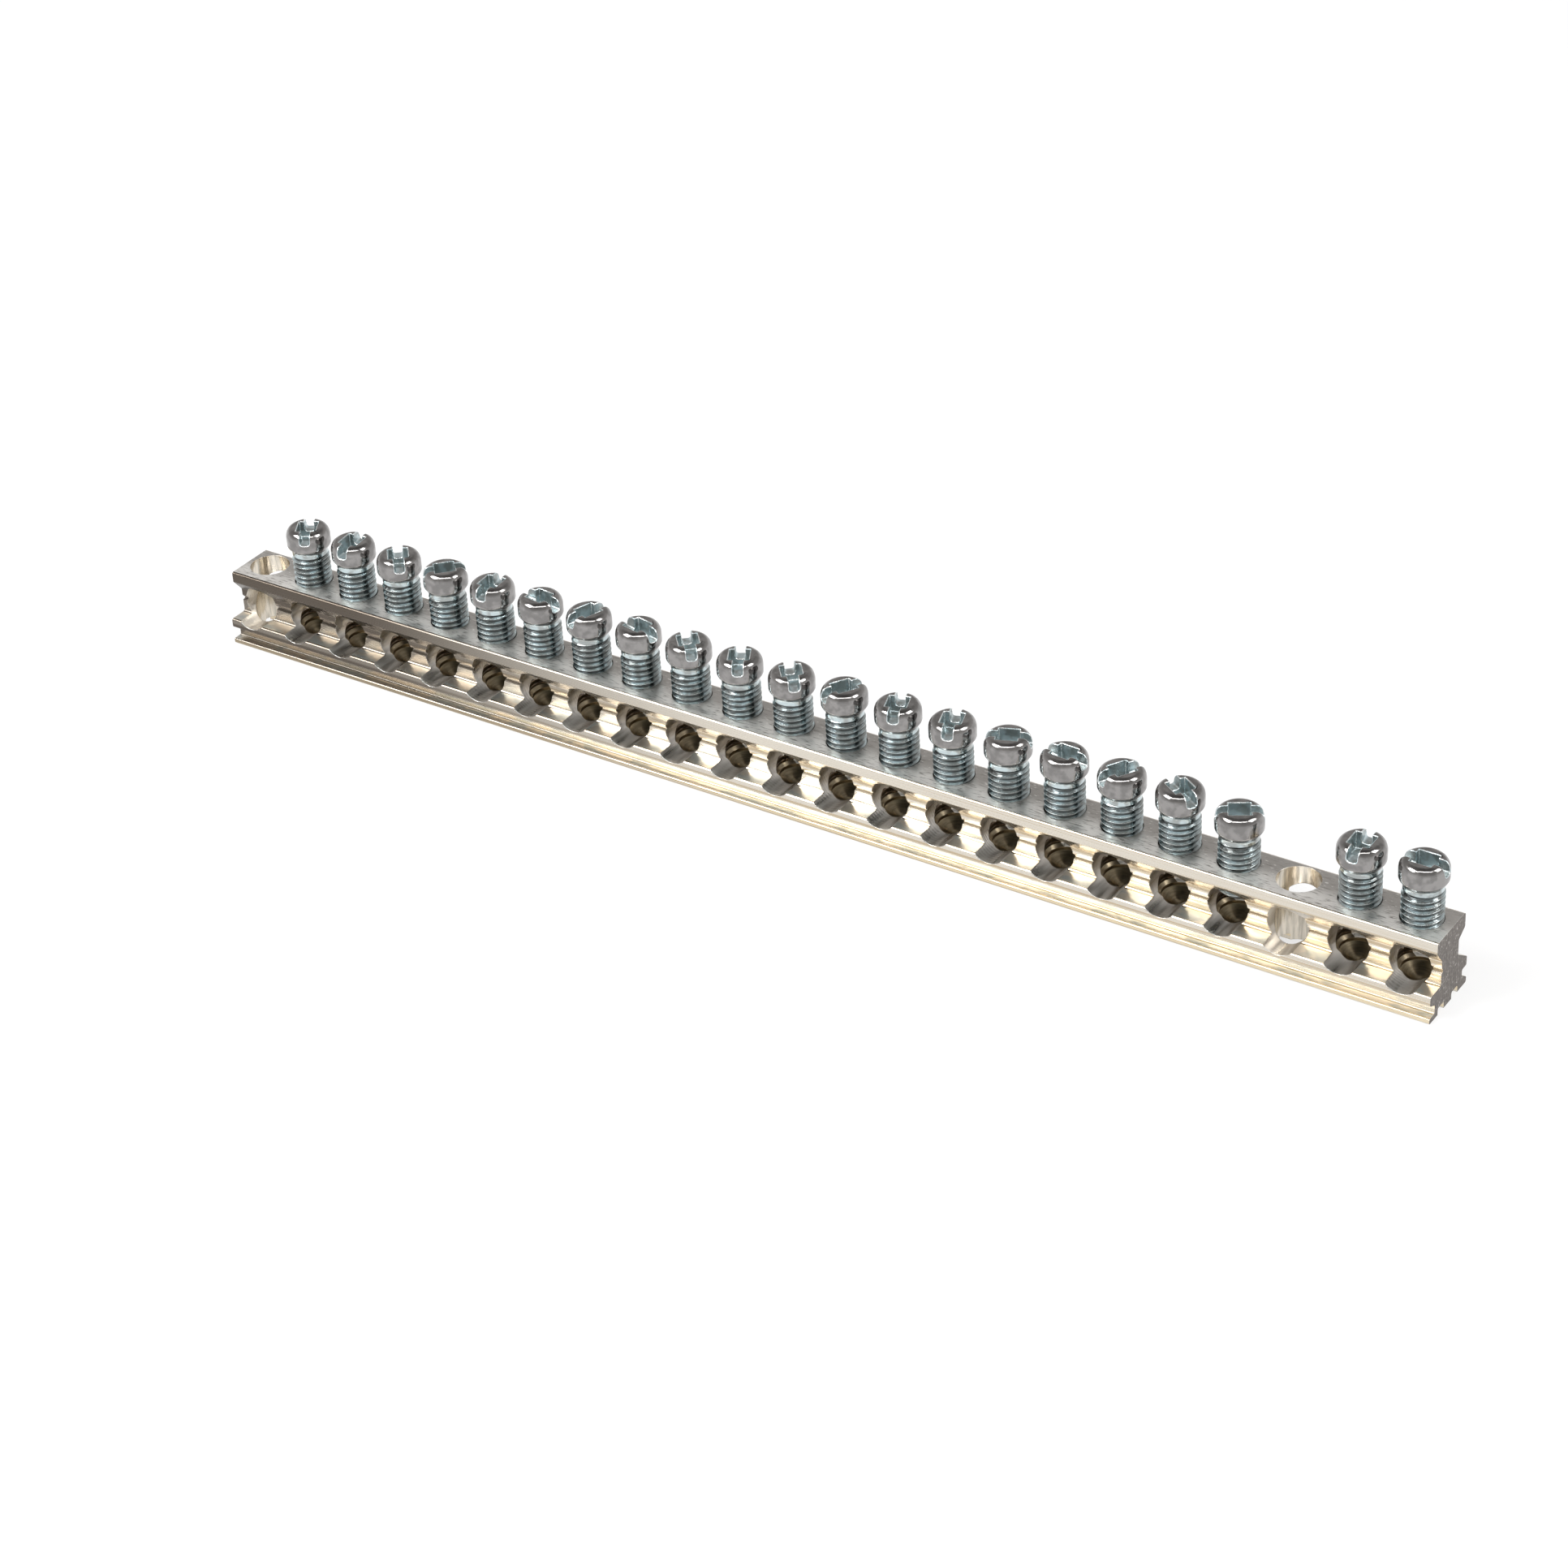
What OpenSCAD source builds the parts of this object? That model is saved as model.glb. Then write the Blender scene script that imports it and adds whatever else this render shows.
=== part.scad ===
// Earth terminal bar: an extruded, tin-plated aluminium bar with a row of clamping
// screws over blind wire holes, and two plain holes that fix it to its enclosure.
// X runs along the bar, the wire side faces -Y and Z is up. The origin is on the hole
// row, on the underside, midway between the two fixing holes.

/* [Bar] */
// Height of the bar
bar_h = 12.7; // [12.3:0.1:16]
// Distance from one hole to the next along the bar
pitch = 9.525; // [9:0.025:14]
// Number of clamping screws between the two fixing holes
inner_screw_count = 19; // [3:1:24]
// Number of clamping screws beyond the second fixing hole
outer_screw_count = 2; // [1:1:4]
// Bar beyond the centre of the first fixing hole
end_near = 4.06; // [3.8:0.02:12]
// Bar beyond the centre of the last screw
end_far = 4.76; // [3.8:0.02:12]

/* [Rail] */
// Front face of the rail from the hole row
rail_front = 5.0; // [4.6:0.1:6]
// Back face of the rail from the hole row
rail_back = 4.0; // [3.8:0.1:6]
// Height of the front face of the rail
rail_face_h = 1.8; // [1:0.1:2.4]
// Depth of the rail at its front, where it meets the web
rail_front_h = 3.9; // [3:0.1:4.4]
// Height of the back face of the rail
rail_back_face_h = 2.4; // [1.5:0.1:3]
// Depth of the rail at its back, where it meets the web
rail_back_h = 3.5; // [3.1:0.1:4.4]
// Rounding of the long edges of the rail
rail_edge_r = 0.4; // [0.1:0.05:0.8]

/* [Web] */
// Front of the web from the hole row
web_front = 3.3; // [3:0.05:4]
// Back of the web from the hole row
web_back = 2.1; // [1.8:0.05:3]
// Depth of the drill guide groove along the front of the web
guide_depth = 0.55; // [0.1:0.05:0.8]
// Height of the guide groove above its line
guide_rise = 0.7; // [0.2:0.05:1]
// Height of the guide groove below its line
guide_drop = 0.25; // [0.1:0.05:0.6]

/* [Front shelf] */
// Top of the wire shelf above the underside
shelf_top = 4.6; // [3.8:0.1:5.4]
// Front edge of the wire shelf from the hole row
shelf_front = 6.6; // [6:0.1:8]
// Height of the front edge of the shelf
shelf_edge_h = 1.5; // [0.8:0.1:1.8]
// Underside of the shelf where it meets the base
shelf_root_z = 2.35; // [1.8:0.05:2.6]
// Bottom of the groove between shelf and front foot, from the hole row
front_groove = 5.0; // [4.6:0.1:5.6]
// Rounding of the edges of the shelf
shelf_edge_r = 0.4; // [0.1:0.05:0.6]

/* [Back shoulder] */
// Back of the shoulder from the hole row
shoulder_back = 5.2; // [4.6:0.1:6]
// Top of the shoulder above the underside
shoulder_top = 4.5; // [4:0.1:5]
// Underside of the shoulder above the underside of the bar
shoulder_bottom = 3.0; // [2.7:0.1:3.4]
// Height at which the slope above the shoulder meets the web
slope_top = 6.6; // [6:0.1:7.2]
// Bottom of the groove between shoulder and back foot, from the hole row
back_groove = 3.75; // [3.5:0.05:4.2]

/* [Feet] */
// Front edge of the front foot from the hole row
front_foot = 6.65; // [6:0.05:8]
// Back edge of the back foot from the hole row
back_foot = 5.3; // [4.8:0.1:6]
// Thickness of both feet at their edges
foot_h = 0.9; // [0.7:0.05:1.2]
// Height at which the slope of the back foot meets its groove
back_foot_root = 2.0; // [1.5:0.1:2.4]
// Depth of the two grooves along the underside
base_groove_h = 1.15; // [0.4:0.05:1.3]
// Width of the two grooves along the underside
base_groove_w = 1.95; // [1:0.05:2.4]
// Middle of the front base groove from the hole row
front_base_groove = 2.95; // [2.6:0.05:3.4]
// Middle of the back base groove from the hole row
back_base_groove = 1.45; // [1.3:0.05:2]
// Rounding of the foot edges and the groove corners
foot_edge_r = 0.3; // [0.1:0.05:0.4]

/* [Holes] */
// Diameter of the wire holes
wire_d = 6.54; // [5:0.02:7]
// Height of the wire holes above the underside
wire_z = 6.9; // [6.5:0.05:7.2]
// Straight part of the wire holes behind the hole row
wire_past = 1.0; // [0:0.1:1.4]
// Diameter of the two fixing holes
fixing_d = 6.6; // [5:0.1:7]
// Diameter of the drill under the tapped part of a screw hole
tap_drill_d = 5.4; // [5:0.05:5.8]
// Straight depth of the drill below the lowest place of a screw's end
drill_past = 0.3; // [0.1:0.05:0.4]
// Angle of the drill points
drill_angle = 118; // [118:1:135]

/* [Screws] */
// Outside diameter of the screw thread
thread_d = 6.2; // [5.8:0.05:6.4]
// Running clearance all round between thread and tapped hole
thread_gap = 0.075; // [0.03:0.005:0.1]
// Length of a screw under its head
shank_l = 9.6; // [9:0.1:10.5]
// Underside of the heads above the top of the bar
head_lift = 5.6; // [5:0.1:6]
// How far a screw can be driven down from there
travel = 4.9; // [3:0.1:4.9]
// Chamfer at the end of a screw
tip_chamfer = 0.8; // [0.6:0.05:1]
// Diameter of the neck under the head
neck_d = 5.3; // [4.8:0.05:5.5]
// Length of the neck under the head
neck_l = 0.45; // [0.3:0.05:1]
// Number of the screw that stands lower than the others
low_screw = 19; // [1:1:24]
// How much lower that screw stands
low_drop = 0.95; // [0:0.05:2]

/* [Screw head] */
// Diameter of the head
head_d = 7.26; // [6.8:0.02:8]
// Height of the head
head_h = 4.25; // [3.5:0.05:5]
// Diameter of the underside of the head
head_under_d = 5.7; // [5.6:0.05:6.4]
// Height of the bevel up from that underside
head_bevel_h = 0.95; // [0.3:0.05:1.2]
// Radius of the crown round the top of the head
crown_r = 1.15; // [0.4:0.05:1.5]
// Width of the slot
slot_w = 1.6; // [1:0.05:2]
// Depth of the slot
slot_h = 1.8; // [1:0.1:2]
// Side of the square recess
square_w = 3.25; // [2.6:0.05:3.6]
// Depth of the square recess
square_h = 2.8; // [2:0.1:3]

/* [Hidden] */
// Direction of each screw's slot, in degrees from +X
slot_angles = [120, 97, 131, 45, 95, 173, 70, 168, 133, 119, 131, 59, 109, 108, 21,
    176, 60, 147, 30, 92, 0];
arc_steps = 3;
eps = 0.01;

span_pitches = inner_screw_count + 1;
screw_count = inner_screw_count + outer_screw_count;
last_position = span_pitches + outer_screw_count;
bar_x0 = position_x(0) - end_near;
bar_x1 = position_x(last_position) + end_far;

tapped_d = thread_d + 2 * thread_gap;
lowest_end = shank_l - head_lift + travel;
tapped_depth = lowest_end - tip_chamfer + thread_gap;
tap_lead = (tapped_d - tap_drill_d) / 2;
drilled_depth = lowest_end + drill_past;

function position_x(i) = (i - span_pitches / 2) * pitch;
function screw_position(n) = n < span_pitches ? n : n + 1;
function screw_name(n) = str("terminal_screw_", n < 10 ? "0" : "", n);
function slot_angle(n) = slot_angles[(n - 1) % len(slot_angles)];
function drill_point_h(d) = d / 2 / tan(drill_angle / 2);

// The same turn, taken the shorter way round
function shorter_turn(a) = a > 180 ? a - 360 : a < -180 ? a + 360 : a;

// The points of a round corner of radius r at b, on the way from a to c
function corner_arc(a, b, c, r) =
    let (u = (a - b) / norm(a - b),
         v = (c - b) / norm(c - b),
         half = acos(u * v) / 2,
         centre = b + (u + v) / norm(u + v) * r / sin(half),
         from = b + u * r / tan(half) - centre,
         to = b + v * r / tan(half) - centre,
         start = atan2(from.y, from.x),
         turn = shorter_turn(atan2(to.y, to.x) - start))
    [for (k = [0:arc_steps])
        centre + r * [cos(start + turn * k / arc_steps), sin(start + turn * k / arc_steps)]];

// An outline from corners [y, z, radius], where radius 0 is a sharp corner
function rounded(corners) =
    let (n = len(corners), at = function(i) [corners[i % n].x, corners[i % n].y])
    [for (i = [0:n - 1])
        each corners[i].z == 0 ? [at(i)]
            : corner_arc(at(i + n - 1), at(i), at(i + 1), corners[i].z)];

// One groove of the underside, from its front edge to its back edge
function base_groove(y) = [
    [y - base_groove_w / 2, 0, 0],
    [y - base_groove_w / 2, base_groove_h, foot_edge_r],
    [y + base_groove_w / 2, base_groove_h, foot_edge_r],
    [y + base_groove_w / 2, 0, 0]];

rail_front_corners = [
    [-rail_front, bar_h, rail_edge_r],
    [-rail_front, bar_h - rail_face_h, rail_edge_r],
    [-web_front, bar_h - rail_front_h, rail_edge_r]];
web_front_corners = [
    [-web_front, wire_z + guide_rise, 0],
    [-web_front + guide_depth, wire_z, 0],
    [-web_front, wire_z - guide_drop, 0],
    [-web_front, shelf_top, shelf_edge_r]];
shelf_corners = [
    [-shelf_front, shelf_top, shelf_edge_r],
    [-shelf_front, shelf_top - shelf_edge_h, shelf_edge_r],
    [-front_groove, shelf_root_z, shelf_edge_r]];
front_foot_corners = [
    [-front_groove, foot_h, foot_edge_r],
    [-front_foot, foot_h, foot_edge_r],
    [-front_foot, 0, foot_edge_r]];
back_foot_corners = [
    [back_foot, 0, foot_edge_r],
    [back_foot, foot_h, foot_edge_r],
    [back_groove, back_foot_root, foot_edge_r],
    [back_groove, shoulder_bottom, foot_edge_r]];
shoulder_corners = [
    [shoulder_back, shoulder_bottom, foot_edge_r],
    [shoulder_back, shoulder_top, foot_edge_r],
    [web_back, slope_top, rail_edge_r]];
rail_back_corners = [
    [web_back, bar_h - rail_back_h, rail_edge_r],
    [rail_back, bar_h - rail_back_face_h, rail_edge_r],
    [rail_back, bar_h, rail_edge_r]];

// The die's outline across the bar, seen along X with Y to the right
module bar_section() {
    polygon(rounded(concat(rail_front_corners, web_front_corners, shelf_corners,
        front_foot_corners, base_groove(-front_base_groove), base_groove(back_base_groove),
        back_foot_corners, shoulder_corners, rail_back_corners)));
}

// The length of extrusion, standing its section's height up along Z
module extrusion() {
    translate([bar_x0, 0, 0])
        rotate([90, 0, 90])
            linear_extrude(bar_x1 - bar_x0) bar_section();
}

// A blind hole for one wire, drilled from the front across the hole row
module wire_hole() {
    depth = shelf_front + eps + wire_past;
    translate([0, -shelf_front - eps, wire_z])
        rotate([-90, 0, 0]) {
            cylinder(h = depth, d = wire_d, $fn = 64);
            translate([0, 0, depth])
                cylinder(h = drill_point_h(wire_d), d1 = wire_d, d2 = 0, $fn = 64);
        }
}

// A screw hole: tapped from the top, the drill's own size below, then its point
module screw_hole() {
    rotate_extrude($fn = 64)
        polygon([
            [0, bar_h + eps],
            [tapped_d / 2, bar_h + eps],
            [tapped_d / 2, bar_h - tapped_depth],
            [tap_drill_d / 2, bar_h - tapped_depth - tap_lead],
            [tap_drill_d / 2, bar_h - drilled_depth],
            [0, bar_h - drilled_depth - drill_point_h(tap_drill_d)]]);
}

// A plain hole right through the bar
module fixing_hole() {
    translate([0, 0, -eps])
        cylinder(h = bar_h + 2 * eps, d = fixing_d, $fn = 64);
}

module terminal_bar() {
    color([0.82, 0.79, 0.72])
        difference() {
            extrusion();
            for (i = [0:last_position])
                translate([position_x(i), 0, 0]) wire_hole();
            for (n = [1:screw_count])
                translate([position_x(screw_position(n)), 0, 0]) screw_hole();
            for (i = [0, span_pitches])
                translate([position_x(i), 0, 0]) fixing_hole();
        }
}

// The turned shape of a screw, with its underside at height 0
module screw_blank() {
    crown = [for (k = [0:2 * arc_steps])
        let (a = 90 * k / (2 * arc_steps))
        [head_d / 2 - crown_r + crown_r * cos(a), head_h - crown_r + crown_r * sin(a)]];
    rotate_extrude($fn = 64)
        polygon(concat([
            [0, -shank_l],
            [thread_d / 2 - tip_chamfer, -shank_l],
            [thread_d / 2, -shank_l + tip_chamfer],
            [thread_d / 2, -neck_l],
            [neck_d / 2, -neck_l],
            [neck_d / 2, 0],
            [head_under_d / 2, 0],
            [head_d / 2, head_bevel_h]],
            crown, [[0, head_h]]));
}

// The two drives in the head: a slot right across and a deeper square
module screw_drive() {
    translate([-head_d, -slot_w / 2, head_h - slot_h])
        cube([2 * head_d, slot_w, slot_h + eps]);
    translate([-square_w / 2, -square_w / 2, head_h - square_h])
        cube([square_w, square_w, square_h + eps]);
}

module terminal_screw(n) {
    drop = n == low_screw ? low_drop : 0;
    color([0.78, 0.81, 0.82])
        translate([position_x(screw_position(n)), 0, bar_h + head_lift - drop])
            rotate([0, 0, slot_angle(n)])
                difference() {
                    screw_blank();
                    screw_drive();
                }
}

terminal_bar();
for (n = [1:screw_count])
    terminal_screw(n);
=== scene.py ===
import math

import bmesh
import bpy
from bpy.props import FloatProperty, FloatVectorProperty, IntProperty, PointerProperty
from mathutils import Matrix, Vector


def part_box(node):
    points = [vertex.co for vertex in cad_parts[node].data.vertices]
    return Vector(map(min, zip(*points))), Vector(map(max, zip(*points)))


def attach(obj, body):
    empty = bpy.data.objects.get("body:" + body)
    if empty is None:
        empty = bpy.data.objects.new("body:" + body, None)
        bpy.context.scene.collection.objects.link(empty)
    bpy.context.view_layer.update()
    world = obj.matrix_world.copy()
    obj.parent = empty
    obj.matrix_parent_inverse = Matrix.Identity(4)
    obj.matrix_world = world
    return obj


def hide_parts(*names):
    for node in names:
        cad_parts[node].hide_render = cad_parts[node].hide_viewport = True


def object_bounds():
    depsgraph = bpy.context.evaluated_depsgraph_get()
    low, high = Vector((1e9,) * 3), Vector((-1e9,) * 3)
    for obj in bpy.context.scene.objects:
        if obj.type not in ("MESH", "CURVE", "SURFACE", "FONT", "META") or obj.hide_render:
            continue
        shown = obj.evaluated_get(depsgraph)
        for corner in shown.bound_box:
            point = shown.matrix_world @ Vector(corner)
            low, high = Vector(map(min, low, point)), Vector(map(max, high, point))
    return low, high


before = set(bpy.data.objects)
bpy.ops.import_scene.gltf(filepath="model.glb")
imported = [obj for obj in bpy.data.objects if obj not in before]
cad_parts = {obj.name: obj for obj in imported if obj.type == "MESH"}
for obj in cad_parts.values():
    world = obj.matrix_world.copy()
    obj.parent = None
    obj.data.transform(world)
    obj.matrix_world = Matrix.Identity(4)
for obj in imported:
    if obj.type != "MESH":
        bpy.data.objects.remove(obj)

CAD_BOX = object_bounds()

bl_info = {
    "name": "Earth terminal bar",
    "version": (1, 0, 0),
    "blender": (4, 5, 0),
    "location": "3D View > Sidebar > Earth bar",
    "description": "An extruded earth terminal bar with its clamping screws, on a plain pale floor",
    "category": "Object",
}

MM = 0.001
TURN = 2 * math.pi
SCREWS = sorted(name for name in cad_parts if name.startswith("terminal_screw_"))
BAR_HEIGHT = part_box("terminal_bar")[1].z


def linear(code):
    """An sRGB hex colour as linear red, green and blue."""
    parts = [int(code[start:start + 2], 16) / 255 for start in (1, 3, 5)]
    return tuple(part / 12.92 if part <= 0.04045 else ((part + 0.055) / 1.055) ** 2.4
                 for part in parts)


def size(name, about, millimetres):
    return FloatProperty(name=name, description=about, default=millimetres * MM,
                         min=0, precision=5, subtype="DISTANCE", unit="LENGTH")


def colour(name, about, code):
    return FloatVectorProperty(name=name, description=about, default=linear(code),
                               min=0, max=1, size=3, subtype="COLOR")


class BarSizes(bpy.types.PropertyGroup):
    pitch: size("Hole pitch", "Distance from one hole to the next along the bar", 9.525)
    wire_d: size("Wire hole", "Diameter of the wire holes", 6.54)
    wire_z: size("Wire hole height", "Height of the wire holes above the underside", 6.9)
    wire_past: size("Wire hole past the row", "Straight part of the wire holes behind the row", 1.0)
    tapped_d: size("Tapped hole", "Diameter of the holes that the screws run in", 6.35)
    tapped_to: size("Tapped hole's end", "Height of the thread's end above the underside", 4.5)
    groove_top: size("Grooves", "A height just above the grooves of the underside", 1.2)
    fixing_d: size("Fixing hole", "Diameter of the two plain holes", 6.6)
    fixing_span: size("Fixing span", "Distance between the two plain holes", 190.5)


class ScrewSizes(bpy.types.PropertyGroup):
    thread_d: size("Thread", "Outside diameter of the thread", 6.2)
    thread_pitch: size("Thread pitch", "28 threads to the inch", 0.907)
    thread_depth: size("Thread depth", "From the crest to the root", 0.54)
    shank_l: size("Shank", "Length under the head", 9.6)
    run_out: size("Run-out", "Length over which the thread ends under the neck", 0.3)
    tip_chamfer: size("End chamfer", "Chamfer at the end of the screw", 0.8)
    neck_d: size("Neck", "Diameter of the neck under the head", 5.9)
    neck_l: size("Neck length", "Length of the neck under the head", 0.45)
    head_d: size("Head", "Diameter of the head", 7.26)
    head_h: size("Head height", "Height of the head", 4.25)
    head_under_h: size("Head underside", "Height over which the head narrows to its neck", 1.4)
    crown_r: size("Crown", "How far the crown comes in round the top of the head", 1.15)
    crown_h: size("Crown height", "Height of the crown round the top of the head", 1.6)
    slot_w: size("Slot width", "Width of the slot", 1.6)
    slot_h: size("Slot depth", "Depth of the slot", 1.8)
    square_w: size("Square", "Side of the square recess", 3.25)
    square_h: size("Square depth", "Depth of the square recess", 2.8)
    edge_r: size("Edge rounding", "Rounding of the edges of the recess", 0.14)
    slot_root_r: size("Slot root", "Rounding along the bottom of the slot", 0.45)
    thread_steps: IntProperty(name="Thread steps", description="Steps in one turn of the thread",
                              default=48, min=12, max=96)
    head_steps: IntProperty(name="Head steps", description="Steps in one turn of the head",
                            default=96, min=24, max=192)
    curve_steps: IntProperty(name="Curve steps", description="Steps in each curve of the head",
                             default=8, min=4, max=16)


class Finishes(bpy.types.PropertyGroup):
    tin_light: colour("Tin plate", "The plating where it is clean", "#D9D2C6")
    tin_tan: colour("Tin plate, tan", "The plating in the die lines", "#C2B298")
    tin_gold: colour("Tin plate, gold", "The warm lines along the foot", "#E8D6B2")
    # painted shade: the darker reflection on the wire side towards the far end of the bar
    tin_painted_shade: colour("Tin plate, painted shade", "Painted shade on the wire side at the far end of the bar", "#5E564E")
    shelf: colour("Wire shelf", "The flat top of the wire shelf", "#F2E8D8")
    shelf_blue: colour("Wire shelf, blue", "The bluish bloom on the wire shelf", "#C9CBC6")
    top_light: colour("Milled top", "The top of the bar where it is bright", "#FDFBF7")
    top_dark: colour("Milled top, dark", "The top of the bar in its scratches", "#9E9994")
    sawn: colour("Sawn end", "The cut ends of the bar", "#827C77")
    drilled: colour("Drilled metal", "The walls of the wire holes", "#F2EEE8")
    drilled_dark: colour("Drilled metal, dark", "The bottoms of the drill's feed marks", "#D6D0C8")
    tapped: colour("Tapped metal", "The walls of the screw holes, dark", "#7F7468")
    pocket: colour("Pocket", "The drilled bottom of the screw holes", "#A0937B")
    bored: colour("Bored metal", "The walls of the plain fixing holes", "#E8E0D2")
    zinc: colour("Zinc plate", "The plating of the heads", "#838180")
    zinc_thread: colour("Zinc plate on the thread", "The plating of the threads", "#A4A9A8")
    # the blue film of the recesses, also made lighter than the head's plate as a painted reflection
    zinc_blue: colour("Zinc plate, blue", "The blue passivated film in the recesses, painted lighter as a reflection", "#C6D3D6")
    # painted highlight: near white on the rounded edges
    zinc_rim_highlight: colour("Zinc plate, painted highlight", "Painted highlight on the rounded edges of the slot and the square", "#EEF0EF")


class StageSettings(bpy.types.PropertyGroup):
    floor_half: size("Floor", "Half the width of the floor", 3000)
    floor_drop: size("Floor drop", "Gap between the floor and the underside of the bar", 0.02)
    floor_colour: colour("Floor colour", "The colour of the floor", "#F2F2F2")


# Materials

# the sockets of a Map Range node: what it reads, the ends of that, and what it gives at each
RANGE = ("Value", "From Min", "From Max", "To Min", "To Max")
# the sockets of a Mix node for colours, by number because it repeats their names for other types
SHARE, UNDER, OVER, MIXED = 0, 6, 7, 2


def add_node(tree, kind, sockets=(), **settings):
    """Adds a node with its settings, and gives each named or numbered socket a link or a value."""
    node = tree.nodes.new(kind)
    for key, value in settings.items():
        setattr(node, key, value)
    for key, source in dict(sockets).items():
        socket = node.inputs[key]
        if isinstance(source, bpy.types.NodeSocket):
            tree.links.new(source, socket)
        elif socket.type == "RGBA":
            socket.default_value = (*source, 1)
        else:
            socket.default_value = source
    return node


def empty_tree(owner):
    """The node tree of a material or of the world, emptied."""
    owner.use_nodes = True
    owner.node_tree.nodes.clear()
    return owner.node_tree


def new_material(name):
    """A material, its node tree, and the place on the piece that its patterns read."""
    material = bpy.data.materials.new(name)
    tree = empty_tree(material)
    place = add_node(tree, "ShaderNodeTexCoord").outputs["Object"]
    return material, tree, place


def set_stops(ramp, stops):
    """Gives a colour ramp its stops from the lowest up, each a position and a colour."""
    elements = ramp.color_ramp.elements
    elements.remove(elements[1])
    elements[0].position, elements[0].color = stops[0][0], (*stops[0][1], 1)
    for position, tone in stops[1:]:
        elements.new(position).color = (*tone, 1)


def toned(base, share):
    """The colour made darker by a share under 1, or lighter by one over it."""
    return [part * share for part in base]


def stretched(tree, place, spacing, detail, turn=(0, 0, 0)):
    """A pattern of lines or grains, by their spacing along each axis in millimetres."""
    scale = [1 / (length * MM) for length in spacing]
    mapped = add_node(tree, "ShaderNodeMapping", {"Vector": place, "Scale": scale, "Rotation": turn})
    return add_node(tree, "ShaderNodeTexNoise",
                    {"Vector": mapped.outputs[0], "Scale": 1, "Detail": detail}).outputs[0]


def ripples(tree, along, spacing, shift=0.0):
    """A wave from -1 to 1 along an axis, with its spacing in metres and its shift in radians."""
    phase = add_node(tree, "ShaderNodeMath", {0: along, 1: TURN / spacing, 2: shift},
                     operation="MULTIPLY_ADD")
    return add_node(tree, "ShaderNodeMath", {0: phase.outputs[0]}, operation="SINE").outputs[0]


def tinted(tree, base, over, pattern, low, high, least=0.0, most=1.0):
    """The base colour under another, whose share goes from least to most as the pattern does from
    low to high."""
    share = add_node(tree, "ShaderNodeMapRange", zip(RANGE, (pattern, low, high, least, most)),
                     interpolation_type="SMOOTHSTEP").outputs[0]
    return add_node(tree, "ShaderNodeMix", {SHARE: share, UNDER: base, OVER: over},
                    data_type="RGBA").outputs[MIXED]


def finish_metal(tree, base, rough, height, depth_mm, edge_mm=0.12):
    """A metal whose edges catch the light, with height as relief. Its roughness is a number, or a
    pattern, its low and high, and the roughness at each."""
    edge = add_node(tree, "ShaderNodeBevel", {"Radius": edge_mm * MM}, samples=4)
    bump = add_node(tree, "ShaderNodeBump", {"Height": height, "Normal": edge.outputs[0],
                                             "Strength": 0.6, "Distance": depth_mm * MM})
    if isinstance(rough, tuple):
        rough = add_node(tree, "ShaderNodeMapRange", zip(RANGE, rough),
                         interpolation_type="SMOOTHSTEP").outputs[0]
    shader = add_node(tree, "ShaderNodeBsdfPrincipled",
                      {"Base Color": base, "Normal": bump.outputs[0], "Metallic": 1,
                       "Roughness": rough})
    add_node(tree, "ShaderNodeOutputMaterial", {"Surface": shader.outputs[0]})


# how strong the painted shade on the wire side is at each height, both as shares: it is weaker on the
# lip of the foot and the bottom of the web, and strongest on the foot, the edge of the shelf and the
# rail
PAINTED_SHADE_AT = ((0.0, 0.45), (0.05, 0.5), (0.09, 0.9), (0.18, 1.0), (0.28, 1.0), (0.31, 0.8), (0.5, 0.82),
           (0.62, 1.0))


def painted_far_end_shade(tree, base, finishes, axis):
    """The base colour with painted shade, a darker reflection, on the wire side towards the far end of
    the bar.
    """
    level = add_node(tree, "ShaderNodeMath", {0: axis["Z"], 1: BAR_HEIGHT}, operation="DIVIDE")
    ramp = add_node(tree, "ShaderNodeValToRGB", {0: level.outputs[0]})
    set_stops(ramp, [(height, [amount] * 3) for height, amount in PAINTED_SHADE_AT])
    # it fades out from 78 mm on the far side of the middle to 12 mm on the near side
    darkened = tinted(tree, base, finishes.tin_painted_shade, axis["X"], -78 * MM, 12 * MM, least=1, most=0)
    darkened = add_node(tree, "ShaderNodeMix", {SHARE: ramp.outputs[0], UNDER: base, OVER: darkened},
                    data_type="RGBA").outputs[MIXED]
    return tinted(tree, base, darkened, axis["Y"], -2 * MM, 2 * MM, least=1, most=0.15)


def tin_plate(finishes):
    """Tin plate on extruded aluminium: satin and cream, with the die's fine lines along it."""
    material, tree, place = new_material("tin_plated_extrusion")
    axis = add_node(tree, "ShaderNodeSeparateXYZ", {0: place}).outputs
    # die lines that run on for most of the bar, and finer ones
    lines = stretched(tree, place, (166.7, 0.5263, 0.5263), 2)
    fine = stretched(tree, place, (71.43, 0.1667, 0.1667), 2)
    base = tinted(tree, finishes.tin_tan, finishes.tin_light, lines, 0.36, 0.47)
    base = tinted(tree, base, finishes.tin_tan, fine, 0.3, 0.5, least=0.25, most=0)
    # the foot, up to 3.2 mm, has wider and warmer lines
    gold = stretched(tree, place, (200, 1.111, 0.6667), 1)
    golden = tinted(tree, base, finishes.tin_gold, gold, 0.44, 0.56)
    base = tinted(tree, base, golden, axis["Z"], 2.2 * MM, 3.2 * MM, least=0.7, most=0)
    # painted shade on the wire side towards the far end of the bar
    base = painted_far_end_shade(tree, base, finishes, axis)
    finish_metal(tree, base, (fine, 0.3, 0.7, 0.2, 0.34), fine, 0.02)
    return material


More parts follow.
